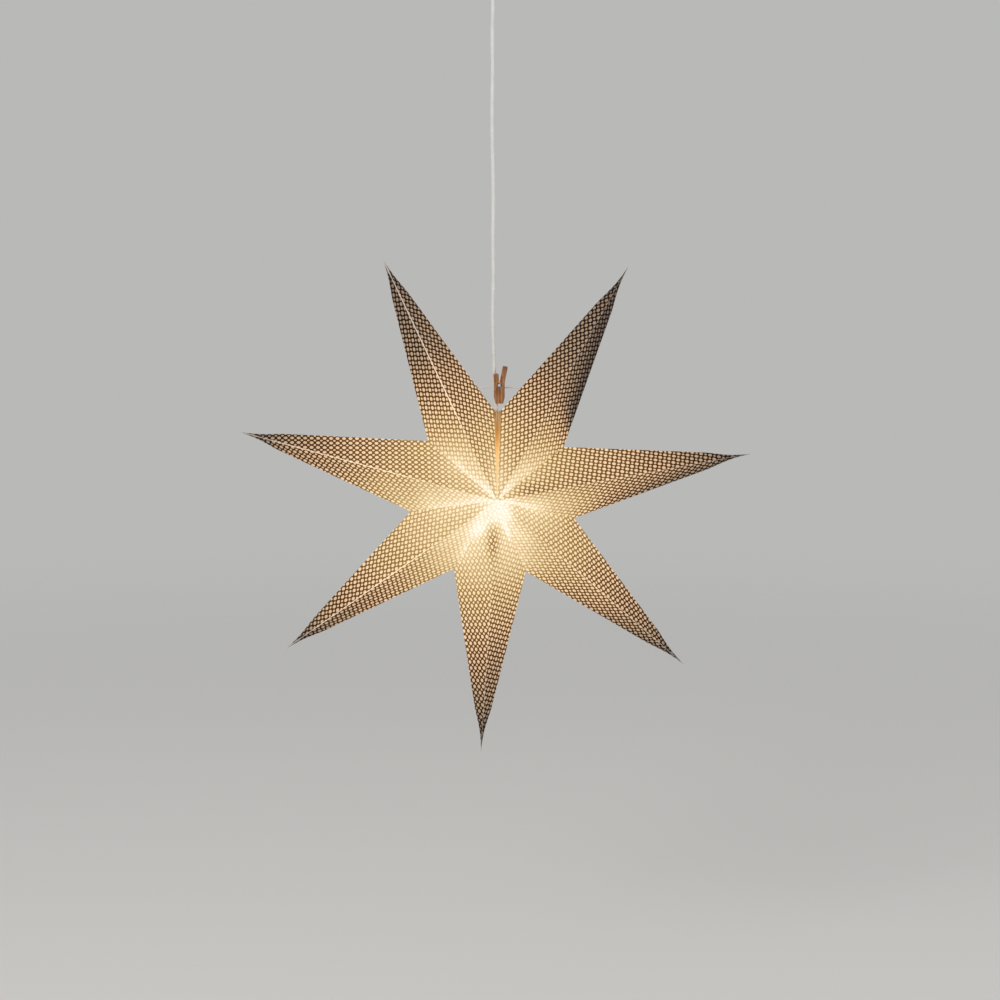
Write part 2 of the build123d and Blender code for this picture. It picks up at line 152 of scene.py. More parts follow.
def start_material(name: str) -> tuple[Material, Tree, bpy.types.Node]:
    """Start a material with a Principled shader.

    Args:
        name: The real material's name.

    Returns:
        The material, its node tree and its shader.
    """
    material = bpy.data.materials.new(name)
    material.use_nodes = True
    tree = material.node_tree
    return material, tree, tree.nodes["Principled BSDF"]


def finish_mesh(mesh: bmesh.types.BMesh, name: str, materials: list[Material]) -> bpy.types.Object:
    """Turn a bmesh into a linked object at the origin.

    Args:
        mesh: Finished bmesh, freed here.
        name: Object's name.
        materials: Its material slots.

    Returns:
        The new object.
    """
    data = bpy.data.meshes.new(name)
    mesh.to_mesh(data)
    mesh.free()
    for material in materials:
        data.materials.append(material)
    piece = bpy.data.objects.new(name, data)
    bpy.context.scene.collection.objects.link(piece)
    return piece


def dress(nodes: Nodes, finish: Finish, *names: str) -> None:
    """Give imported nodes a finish.

    Args:
        nodes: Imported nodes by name.
        finish: Finish to make once and share.
        names: Nodes that take it.
    """
    material = finish.build()
    for name in names:
        data = nodes[name].data
        data.materials.clear()
        data.materials.append(material)
        LOG.info("dressed %s in %s", name, material.name)


def eased(value: float, low: float, high: float) -> float:
    """Rise smoothly from 0 at the low value to 1 at the high one."""
    step = max(0.0, min(1.0, (value - low) / (high - low)))
    return step * step * (3 - 2 * step)


@dataclass(frozen=True)
class PrintedPaper:
    """Uncoated card, printed dark brown around bare round dots, lit from behind, with painted ridge
    highlights.
    """

    print_colours: Stops = ((NOISE_LOW, "#1c1006"), (NOISE_HIGH, "#281709"))
    dot_colour: str = "#7d7166"
    # Pale colour of the painted highlight along the ridges, where the key light from the left catches the
    # folds
    ridge_highlight_colour: str = "#d9d0c6"
    # Colours that the lamp adds as it shines harder through the bare dots and through the print
    dot_glow: Stops = (
        (0.0, "#000000"), (0.10, "#3c2e24"), (0.15, "#6b5644"), (0.20, "#8a7158"), (0.26, "#a88c6c"),
        (0.33, "#d0ab83"), (0.45, "#e5c699"), (0.64, "#ebd3a2"), (0.80, "#ecd8ad"), (0.92, "#fbe9c2"),
        (1.0, "#fffaea"),
    )
    print_glow: Stops = (
        (0.0, "#000000"), (0.19, "#120903"), (0.215, "#1c0e04"), (0.26, "#321c04"), (0.33, "#4a2c0e"),
        (0.45, "#6c4620"), (0.64, "#a17a46"), (0.78, "#c8a770"), (0.90, "#e7c99a"), (1.0, "#fff2d8"),
    )
    grid: float = 5.2 * MM
    big_dot: float = 4.4 * MM
    small_dot: float = 2.9 * MM
    soft_edge: float = 0.5 * MM
    # Width of the widest painted ridge highlight
    crease: float = 1.5 * MM
    cloud: float = 28 * MM
    unevenness: float = 0.07
    # Card fibres are too fine to show, so the tooth is drawn about ten times as coarse
    tooth: float = 0.35 * MM
    tooth_depth: float = 0.04 * MM
    tooth_strength: float = 0.5
    roughness: float = 0.72
    gloss: float = 0.06

    @property
    def cells_per_metre(self) -> float:
        """Number of dot cells in a metre, across the diagonal of the dot grid."""
        return 1 / (math.sqrt(2) * self.grid)

    def dot_mask(self, tree: Tree, cells: Socket, shift: float, diameter: float) -> Socket:
        """Mask the dots of one size.

        Args:
            tree: Node tree of the material.
            cells: The sheet's coordinates, counted in dot cells.
            shift: Shift of the dots within their cells.
            diameter: Diameter of the dots.

        Returns:
            An output of 1 on the dots and 0 between them.
        """
        moved = add_node(tree, "ShaderNodeVectorMath", {"operation": "ADD"},
                         {1: (shift, shift, 0)}, {0: cells})
        inside = add_node(tree, "ShaderNodeVectorMath", {"operation": "FRACTION"},
                          links={0: moved.outputs["Vector"]})
        centred = add_node(tree, "ShaderNodeVectorMath", {"operation": "SUBTRACT"},
                           {1: (0.5, 0.5, 0)}, {0: inside.outputs["Vector"]})
        distance = add_node(tree, "ShaderNodeVectorMath", {"operation": "LENGTH"},
                            links={0: centred.outputs["Vector"]})
        edge = diameter / 2 * self.cells_per_metre
        blur = self.soft_edge / 2 * self.cells_per_metre
        mask = add_node(tree, "ShaderNodeMapRange", {"interpolation_type": "SMOOTHSTEP"},
                        {"From Min": edge - blur, "From Max": edge + blur, "To Min": 1, "To Max": 0},
                        {"Value": distance.outputs["Value"]})
        return mask.outputs["Result"]

    def dots(self, tree: Tree) -> Socket:
        """Mask large dots with small dots between them.

        Args:
            tree: Node tree of the material.

        Returns:
            An output of 1 on all the dots and 0 on the print.
        """
        sheet = add_node(tree, "ShaderNodeUVMap", {"uv_map": "print"})
        scale = (self.cells_per_metre,) * 3
        turned = add_node(tree, "ShaderNodeMapping",
                          values={"Rotation": (0, 0, math.radians(45)), "Scale": scale},
                          links={"Vector": sheet.outputs["UV"]})
        big = self.dot_mask(tree, turned.outputs["Vector"], 0.5, self.big_dot)
        small = self.dot_mask(tree, turned.outputs["Vector"], 0.0, self.small_dot)
        both = add_node(tree, "ShaderNodeMath", {"operation": "MAXIMUM"}, links={0: big, 1: small})
        return both.outputs["Value"]

    def ridge_highlights(self, tree: Tree) -> Socket:
        """Mask the ridges that carry a painted highlight, pale where the key light catches the fold.

        Args:
            tree: Node tree of the material.

        Returns:
            An output of 1 on a rubbed ridge and 0 away from it.
        """
        fold = add_node(tree, "ShaderNodeUVMap", {"uv_map": "fold"})
        across = add_node(tree, "ShaderNodeSeparateXYZ", links={"Vector": fold.outputs["UV"]})
        away = add_node(tree, "ShaderNodeMath", {"operation": "ABSOLUTE"}, links={0: across.outputs["X"]})
        # Width of the painted ridge highlight, written on each corner of the sheet
        ridge_shine = add_node(tree, "ShaderNodeAttribute", {"attribute_name": "ridge_highlight_width"})
        width = add_node(tree, "ShaderNodeMath", {"operation": "MULTIPLY"}, {1: self.crease},
                         {0: ridge_shine.outputs["Fac"]})
        highlit_ridge = add_node(tree, "ShaderNodeMapRange", {"interpolation_type": "SMOOTHSTEP"},
                          {"From Min": 0.0, "To Min": 1, "To Max": 0},
                          {"Value": away.outputs["Value"], "From Max": width.outputs["Value"]})
        return highlit_ridge.outputs["Result"]

    def colour(self, tree: Tree, dots: Socket, highlit_ridge: Socket, cloud: Socket) -> Socket:
        """Colour the unlit sheet.

        Args:
            tree: Node tree of the material.
            dots: Mask of the dots.
            highlit_ridge: Mask of the painted ridge highlights.
            cloud: Slow variation of the print.

        Returns:
            The sheet's colour.
        """
        ink = add_node(tree, "ShaderNodeValToRGB", links={"Fac": cloud}, stops=self.print_colours)
        dotted = add_node(tree, "ShaderNodeMix", {"data_type": "RGBA"}, {MIX_B: srgb(self.dot_colour)},
                          {0: dots, MIX_A: ink.outputs["Color"]})
        # Paint the pale ridge highlight over the print and the dots
        highlit = add_node(tree, "ShaderNodeMix", {"data_type": "RGBA"}, {MIX_B: srgb(self.ridge_highlight_colour)},
                        {0: highlit_ridge, MIX_A: dotted.outputs[MIX_RESULT]})
        return highlit.outputs[MIX_RESULT]

    def glow(self, tree: Tree, dots: Socket, highlit_ridge: Socket, cloud: Socket) -> Socket:
        """Colour the lamplight that comes through the sheet.

        Args:
            tree: Node tree of the material.
            dots: Mask of the dots.
            highlit_ridge: Mask of the painted ridge highlights.
            cloud: Slow variation of the card's thickness.

        Returns:
            The light's colour.
        """
        lamp = add_node(tree, "ShaderNodeAttribute", {"attribute_name": "lamplight"})
        uneven = add_node(tree, "ShaderNodeMapRange",
                          values={"To Min": 1 - self.unevenness, "To Max": 1 + self.unevenness},
                          links={"Value": cloud})
        light = add_node(tree, "ShaderNodeMath", {"operation": "MULTIPLY"},
                         links={0: lamp.outputs["Fac"], 1: uneven.outputs["Result"]})
        # The lamp shines through the painted ridge highlight as it does through the bare dots
        bare = add_node(tree, "ShaderNodeMath", {"operation": "MAXIMUM"}, links={0: dots, 1: highlit_ridge})
        through_dot = add_node(tree, "ShaderNodeValToRGB", links={"Fac": light.outputs["Value"]},
                               stops=self.dot_glow)
        through_print = add_node(tree, "ShaderNodeValToRGB", links={"Fac": light.outputs["Value"]},
                                 stops=self.print_glow)
        mixed = add_node(tree, "ShaderNodeMix", {"data_type": "RGBA"},
                         links={0: bare.outputs["Value"], MIX_A: through_print.outputs["Color"],
                                MIX_B: through_dot.outputs["Color"]})
        return mixed.outputs[MIX_RESULT]

    def build(self) -> Material:
        """Make the sheet's outer face.

        Returns:
            The material.
        """
        # Uncoated card is matt and fibrous: the print looks dull and dark, and the bare dots glow
        material, tree, shader = start_material("printed_card")
        place = add_node(tree, "ShaderNodeTexCoord").outputs["Object"]
        fibre = add_node(tree, "ShaderNodeTexNoise", values={"Scale": 1 / self.tooth, "Detail": 3.0},
                         links={"Vector": place})
        cloud = add_node(tree, "ShaderNodeTexNoise", values={"Scale": 1 / self.cloud, "Detail": 2.0},
                         links={"Vector": place}).outputs["Fac"]
        relief = add_node(tree, "ShaderNodeBump",
                          values={"Distance": self.tooth_depth, "Strength": self.tooth_strength},
                          links={"Height": fibre.outputs["Fac"]})
        dots, highlit_ridge = self.dots(tree), self.ridge_highlights(tree)
        set_inputs(tree, shader,
                   {"Emission Strength": 1.0, "Roughness": self.roughness, "Specular IOR Level": self.gloss},
                   {"Base Color": self.colour(tree, dots, highlit_ridge, cloud),
                    "Emission Color": self.glow(tree, dots, highlit_ridge, cloud),
                    "Normal": relief.outputs["Normal"]})
        return material


@dataclass(frozen=True)
class RawPaper:
    """The unprinted inner side of the card, warm where the lamp shines on it."""

    colour: str = "#9a8a72"
    glow: Stops = (
        (0.20, "#74501e"), (0.25, "#b8833e"), (0.275, "#d09a52"), (0.30, "#d8ae6c"), (0.35, "#d6b682"),
        (0.48, "#e4d0a6"), (1.0, "#fff2d8"),
    )
    # Card fibres are too fine to show, so the tooth is drawn about ten times as coarse
    tooth: float = 0.4 * MM
    tooth_depth: float = 0.04 * MM
    tooth_strength: float = 0.5
    roughness: float = 0.85

    def build(self) -> Material:
        """Make the plain inner face.

        Returns:
            The material.
        """
        # Raw card is chalky and takes on the lamp's colour, orange in the depth of a fold
        material, tree, shader = start_material("raw_card")
        place = add_node(tree, "ShaderNodeTexCoord")
        fibre = add_node(tree, "ShaderNodeTexNoise", values={"Scale": 1 / self.tooth, "Detail": 3.0},
                         links={"Vector": place.outputs["Object"]})
        relief = add_node(tree, "ShaderNodeBump",
                          values={"Distance": self.tooth_depth, "Strength": self.tooth_strength},
                          links={"Height": fibre.outputs["Fac"]})
        lamp = add_node(tree, "ShaderNodeAttribute", {"attribute_name": "lamplight"})
        warm = add_node(tree, "ShaderNodeValToRGB", links={"Fac": lamp.outputs["Fac"]}, stops=self.glow)
        set_inputs(tree, shader,
                   {"Base Color": srgb(self.colour), "Emission Strength": 1.0, "Roughness": self.roughness},
                   {"Emission Color": warm.outputs["Color"], "Normal": relief.outputs["Normal"]})
        return material


@dataclass(frozen=True)
class Moulded:
    """A moulded or extruded plastic with a fine surface texture and slight unevenness."""

    name: str
    colour: str
    second: str
    roughness: float
    # A mould's texture is finer than this, and is drawn as coarse as it needs to show
    grain: float = 0.8 * MM
    depth: float = 0.02 * MM
    cloud_grains: float = 30.0
    spread: float = 0.06

    def build(self) -> Material:
        """Make the moulded surface.

        Returns:
            The material.
        """
        material, tree, shader = start_material(self.name)
        place = add_node(tree, "ShaderNodeTexCoord").outputs["Object"]
        grain = add_node(tree, "ShaderNodeTexNoise", values={"Scale": 1 / self.grain, "Detail": 2.0},
                         links={"Vector": place})
        cloud = add_node(tree, "ShaderNodeTexNoise",
                         values={"Scale": 1 / (self.cloud_grains * self.grain), "Detail": 2.0},
                         links={"Vector": place})
        tint = add_node(tree, "ShaderNodeValToRGB", links={"Fac": cloud.outputs["Fac"]},
                        stops=((NOISE_LOW, self.colour), (NOISE_HIGH, self.second)))
        rough = add_node(tree, "ShaderNodeMapRange",
                         values={"To Min": self.roughness - self.spread,
                                 "To Max": self.roughness + self.spread},
                         links={"Value": cloud.outputs["Fac"]})
        relief = add_node(tree, "ShaderNodeBump", values={"Distance": self.depth, "Strength": 1.0},
                          links={"Height": grain.outputs["Fac"]})
        set_inputs(tree, shader, links={"Base Color": tint.outputs["Color"],
                                        "Roughness": rough.outputs["Result"],
                                        "Normal": relief.outputs["Normal"]})
        return material


@dataclass(frozen=True)
class LitSheath(Moulded):
    """Cord sheath that takes on the lamp's colour as it goes down into the star."""

    dark_above: float = STAR_Z + 0.100
    lit_below: float = STAR_Z + 0.094
    lamplight: str = "#7a5228"
    lit_sheath: str = "#7d5a34"

    def build(self) -> Material:
        """Add lamplight by height to the moulded surface.

        Returns:
            The material.
        """
        material = super().build()
        tree = material.node_tree
        shader = tree.nodes["Principled BSDF"]
        place = add_node(tree, "ShaderNodeTexCoord")
        height = add_node(tree, "ShaderNodeSeparateXYZ", links={"Vector": place.outputs["Object"]})
        lit = add_node(tree, "ShaderNodeMapRange", {"interpolation_type": "SMOOTHSTEP"},
                       {"From Min": self.lit_below, "From Max": self.dark_above, "To Min": 1, "To Max": 0},
                       {"Value": height.outputs["Z"]})
        plain = shader.inputs["Base Color"].links[0].from_socket
        warm = add_node(tree, "ShaderNodeMix", {"data_type": "RGBA"}, {MIX_B: srgb(self.lit_sheath)},
                        {0: lit.outputs["Result"], MIX_A: plain})
        set_inputs(tree, shader, {"Emission Color": srgb(self.lamplight)},
                   {"Base Color": warm.outputs[MIX_RESULT], "Emission Strength": lit.outputs["Result"]})
        return material


@dataclass(frozen=True)
class Metal:
    """A bare or plated metal with fine lines across the Z axis."""

    name: str
    colour: str
    second: str
    roughness: float
    squeeze: tuple[float, float, float] = (1.0, 1.0, 8.0)
    # Tool marks are finer than this, and are drawn as coarse as they need to show
    line: float = 1.2 * MM
    depth: float = 0.01 * MM
    spread: float = 0.08

    def build(self) -> Material:
        """Make the metal surface.

        Returns:
            The material.
        """
        material, tree, shader = start_material(self.name)
        place = add_node(tree, "ShaderNodeTexCoord")
        squeezed = add_node(tree, "ShaderNodeMapping", values={"Scale": self.squeeze},
                            links={"Vector": place.outputs["Object"]})
        lines = add_node(tree, "ShaderNodeTexNoise", values={"Scale": 1 / self.line, "Detail": 3.0},
                         links={"Vector": squeezed.outputs["Vector"]}).outputs["Fac"]
        tint = add_node(tree, "ShaderNodeValToRGB", links={"Fac": lines},
                        stops=((NOISE_LOW, self.colour), (NOISE_HIGH, self.second)))
        rough = add_node(tree, "ShaderNodeMapRange",
                         values={"To Min": self.roughness - self.spread,
                                 "To Max": self.roughness + self.spread},
                         links={"Value": lines})
        relief = add_node(tree, "ShaderNodeBump", values={"Distance": self.depth, "Strength": 1.0},
                          links={"Height": lines})
        set_inputs(tree, shader, {"Metallic": 1.0},
                   {"Base Color": tint.outputs["Color"], "Roughness": rough.outputs["Result"],
                    "Normal": relief.outputs["Normal"]})
        return material


@dataclass(frozen=True)
class PegWood:
    """Stained beech, sawn with its grain along the peg's arms."""

    tint: Stops = ((0.3, "#6f4524"), (0.5, "#986336"), (0.68, "#c08650"))
    grain_width: float = 1.6 * MM
    grain_draw: tuple[float, float, float] = (1.0, 1.0, 0.12)
    waviness: float = 0.6
    depth: float = 0.06 * MM
    roughness: float = 0.55

    def build(self) -> Material:
        """Make the wood.

        Returns:
            The material.
        """
        # Beech has short dark streaks in a warm ground, and sawn and stained it is nearly matt
        material, tree, shader = start_material("stained_beech")
        place = add_node(tree, "ShaderNodeTexCoord")
        along = add_node(tree, "ShaderNodeMapping", values={"Scale": self.grain_draw},
                         links={"Vector": place.outputs["Object"]})
        grain = add_node(tree, "ShaderNodeTexNoise",
                         values={"Scale": 1 / self.grain_width, "Detail": 4.0, "Distortion": self.waviness},
                         links={"Vector": along.outputs["Vector"]}).outputs["Fac"]
        tint = add_node(tree, "ShaderNodeValToRGB", links={"Fac": grain}, stops=self.tint)
        relief = add_node(tree, "ShaderNodeBump", values={"Distance": self.depth, "Strength": 1.0},
                          links={"Height": grain})
        set_inputs(tree, shader, {"Roughness": self.roughness},
                   {"Base Color": tint.outputs["Color"], "Normal": relief.outputs["Normal"]})
        return material


@dataclass(frozen=True)
class BulbGlass:
    """Thin clear blown glass."""

    colour: str = "#fffaf0"
    wave: float = 14 * MM
    depth: float = 0.05 * MM
    ior: float = 1.47
    roughness: float = 0.02

    def build(self) -> Material:
        """Make the glass.

        Returns:
            The material.
        """
        # Blown glass is clear with slow waves, which bend what is seen through it a little
        material, tree, shader = start_material("blown_glass")
        place = add_node(tree, "ShaderNodeTexCoord")
        wave = add_node(tree, "ShaderNodeTexNoise", values={"Scale": 1 / self.wave, "Detail": 1.0},
                        links={"Vector": place.outputs["Object"]})
        relief = add_node(tree, "ShaderNodeBump", values={"Distance": self.depth, "Strength": 1.0},
                          links={"Height": wave.outputs["Fac"]})
        set_inputs(tree, shader,
                   {"Base Color": srgb(self.colour), "Transmission Weight": 1.0, "IOR": self.ior,
                    "Roughness": self.roughness},
                   {"Normal": relief.outputs["Normal"]})
        return material


@dataclass(frozen=True)
class LitFilament:
    """Phosphor-coated filament strips, lit warm white."""

    tint: Stops = ((NOISE_LOW, "#ffd195"), (NOISE_HIGH, "#ffdfae"))
    bead: float = 1.0 * MM
    strength: float = 3.0
    roughness: float = 0.6

    def build(self) -> Material:
        """Make the glowing coating.

        Returns:
            The material.
        """
        # The coating glows in small beads, each over one light source, and looks like an ember
        material, tree, shader = start_material("lit_phosphor")
        place = add_node(tree, "ShaderNodeTexCoord")
        beads = add_node(tree, "ShaderNodeTexNoise", values={"Scale": 1 / self.bead},
                         links={"Vector": place.outputs["Object"]})
        tint = add_node(tree, "ShaderNodeValToRGB", links={"Fac": beads.outputs["Fac"]}, stops=self.tint)
        set_inputs(tree, shader, {"Emission Strength": self.strength, "Roughness": self.roughness},
                   {"Base Color": tint.outputs["Color"], "Emission Color": tint.outputs["Color"]})
        return material


# Extruded PVC: smooth satin white, with a soft highlight down the cord
CORD_SHEATH = Moulded("pvc_cord_sheath", "#e9e8e6", "#dfdedb", 0.42, grain=0.5 * MM)
# The same sheath where it goes into the star, browned by the lamplight
LAMPLIT_SHEATH = LitSheath("pvc_cord_lamplit", "#e9e8e6", "#dfdedb", 0.42, grain=0.5 * MM)
# Plastic-coated wire: pale beige with a dull shine
WIRE_COATING = Moulded("coated_wire", "#f0e2d6", "#e6d6c8", 0.4)
# Hard-drawn spring steel: grey, with bright streaks on the coil
SPRING_STEEL = Metal("spring_steel", "#8d8f92", "#b5b7ba", 0.3)
# Pressed urea resin: dense warm white with a firm shine
UREA_RESIN = Moulded("urea_moulding", "#e6e1d5", "#dcd6c9", 0.3)
# Glazed porcelain: off-white under a glassy skin
PORCELAIN = Moulded("glazed_porcelain", "#ebe7dd", "#e2dccf", 0.25)
# Deep-drawn brass: yellow and fairly bright, with fine drawing lines
DRAWN_BRASS = Metal("drawn_brass", "#b28a45", "#cba65c", 0.3)
# Nickel plate: warm silver, brighter than the brass
NICKEL_PLATE = Metal("nickel_plate", "#b7b3ab", "#cfccc4", 0.25)
# Moulded ABS: an even white with a wide satin highlight
WHITE_ABS = Moulded("abs_white", "#e8e7e2", "#e0dfd9", 0.38)
# Natural polyamide: milky and waxy, with hardly a highlight
POLYAMIDE = Moulded("polyamide_natural", "#d9d5c9", "#cec9bb", 0.5)
# Zinc plate: cool grey with a dull sparkle
ZINC_PLATE = Metal("zinc_plate", "#a9adb0", "#c2c6c8", 0.35)
# Turned brass: yellow, with the fine rings of the lathe
TURNED_BRASS = Metal("turned_brass", "#b08a48", "#c9a55e", 0.3)
# PVC wire insulation: smooth full blue
CORE_INSULATION = Moulded("pvc_core", "#2f5fa8", "#28549a", 0.4)
# Soft rubber: matt off-white that shows no highlight
SOFT_RUBBER = Moulded("soft_rubber", "#dcd8d0", "#d2cdc4", 0.6)


@dataclass(frozen=True)
class StarShape:
    """Sizes of the folded star that all its points share, with angles in degrees."""

    tip_radius: float = 300 * MM
    notch_radius: float = 97.5 * MM
    half_depth: float = 67 * MM
    seam_gap: float = 4.9
    lean: float = 2.8
    flap_width: float = 9 * MM
    flap_start: float = 6 * MM
    paper: float = 0.5 * MM
    points: int = 7

    @property
    def pitch(self) -> float:
        """Angle that one point takes up."""
        return (360.0 - self.seam_gap) / self.points

    @property
    def valley(self) -> float:
        """Length of a valley fold, from the hub to the notch."""
        return math.hypot(self.notch_radius, self.half_depth)

    def tip_angle(self, index: int) -> float:
        """Angle of a tip, clockwise from the open seam as seen from the front."""
        return 90.0 - self.lean - self.seam_gap / 2 - self.pitch * (index + 0.5)

    @staticmethod
    def direction(angle: float) -> Vector:
        """Unit vector at an angle in the star's plane, counted from +X towards +Z."""
        return Vector((math.cos(math.radians(angle)), 0.0, math.sin(math.radians(angle))))


@dataclass(frozen=True)
class Spot:
    """A soft patch of more or less light: its place, half width, half height and gain."""

    across: float
    up: float
    width: float
    height: float
    gain: float

    def level(self, place: Vector) -> float:
        """Light that the patch adds at a place given from the star's centre."""
        off = math.hypot((place.x - self.across) / self.width, (place.z - self.up) / self.height)
        return self.gain * math.exp(-off ** 2)


@dataclass(frozen=True)
class Lamplight:
    """How hard the bulb shines on the inside of the paper, the same at the back as in front."""

    source: tuple[float, float, float] = (1 * MM, 25 * MM, 7 * MM)
    middle: tuple[float, float] = (-23 * MM, -28 * MM)
    even_reach: float = 108 * MM
    knee: float = 4.0
    gain: float = 1.04
    scatter: float = 0.41
    spots: tuple[Spot, ...] = (
        # The hub
        Spot(1 * MM, 14 * MM, 20 * MM, 20 * MM, 0.12),
        # The bulb, just below the hub
        Spot(0.0, -14 * MM, 13 * MM, 13 * MM, 0.16),
        Spot(-6 * MM, -12 * MM, 18 * MM, 18 * MM, 0.08),
        # Shade on the ridge of the bottom point
        Spot(-4 * MM, -51 * MM, 6 * MM, 17 * MM, -0.24),
        # Shade just above the ridge of the right point
        Spot(41 * MM, 11 * MM, 18 * MM, 7 * MM, -0.14),
    )

    def level(self, place: Vector, normal: Vector, share: float) -> float:
        """Light at a place on the sheet.

        Args:
            place: Point on the sheet, in the part's frame.
            normal: The sheet's normal there, or no length where only scattered light falls.
            share: How much of the light this place takes.

        Returns:
            A level from 0, dark, to 1, where the bulb shines through.
        """
        front = Vector((place.x, -abs(place.y), place.z - STAR_Z))
        facet = Vector((normal.x, -abs(normal.y), normal.z))
        facing = abs(facet.dot((front - Vector(self.source)).normalized()))
        reach = math.hypot(front.x - self.middle[0], front.z - self.middle[1])
        falling = (1 + (reach / self.even_reach) ** self.knee) ** (-1 / self.knee)
        base = self.gain * falling * (facing + self.scatter) / (1 + self.scatter)
        return max(0.0, min(1.0, base * share + sum(spot.level(front) for spot in self.spots)))


@dataclass(frozen=True)
class Share:
    """Part of the lamplight that one side of a point takes.

    It goes from the near value by the hub to the far one, less a shade towards the outer edge and
    a loss at the tip. The stretches where it changes are counted from 0 at the hub to 1 at the tip.
    """

    near: float
    far: float
    edge: float = 0.0
    change: tuple[float, float] = (0.2, 0.6)
    edge_change: tuple[float, float] = (0.3, 0.5)
    tip_change: tuple[float, float] = (0.78, 1.02)
    tip_loss: float = 0.8

    def at(self, along: float, aside: float) -> float:
        """Share at a place on the facet.

        Args:
            along: Place along the ridge, from 0 at the hub to 1 at the tip.
            aside: Place across the facet, from 0 on the ridge to 1 on the outer edge.

        Returns:
            The share of the lamplight, about 1 as a rule.
        """
        share = self.near + (self.far - self.near) * eased(along, *self.change)
        shade = self.edge * eased(along, *self.edge_change) * aside ** 2
        return share * max(0.0, 1 - shade) * (1 - self.tip_loss * eased(along, *self.tip_change))


@dataclass(frozen=True)
class PointPlan:
    """What tells one point from the next.

    Its node, the turn of its print in degrees, how wide the painted highlight on its ridge is, and
    the light on its anticlockwise and clockwise sides as seen from the front.
    """

    node: str
    print_turn: float
    ridge_shine: float
    anticlockwise: Share
    clockwise: Share


class Corner(Enum):
    """The points, clockwise from the open seam."""

    # The third value widens the painted ridge highlight, most on the left-hand points that face the key light
    UPPER_RIGHT = PointPlan("point_upper_right", -33.0, 0.15, Share(0.90, 0.90),
                            Share(1.05, 0.75, 1.0, tip_change=(0.6, 1.02)))
    RIGHT = PointPlan("point_right", 25.0, 0.2, Share(0.95, 1.35), Share(1.05, 1.20, 0.4))
    LOWER_RIGHT = PointPlan("point_lower_right", 25.0, 0.35, Share(1.10, 1.25), Share(1.05, 1.20, 0.25))
    BOTTOM = PointPlan("point_bottom", 25.0, 0.2, Share(1.10, 0.95), Share(1.10, 1.05))
    LOWER_LEFT = PointPlan("point_lower_left", 25.0, 0.7, Share(1.10, 0.95), Share(1.05, 1.20))
    LEFT = PointPlan("point_left", 25.0, 0.7, Share(1.05, 1.20), Share(1.00, 1.20))
    UPPER_LEFT = PointPlan("point_upper_left", 25.0, 1.0, Share(1.05, 0.85), Share(0.90, 0.95))


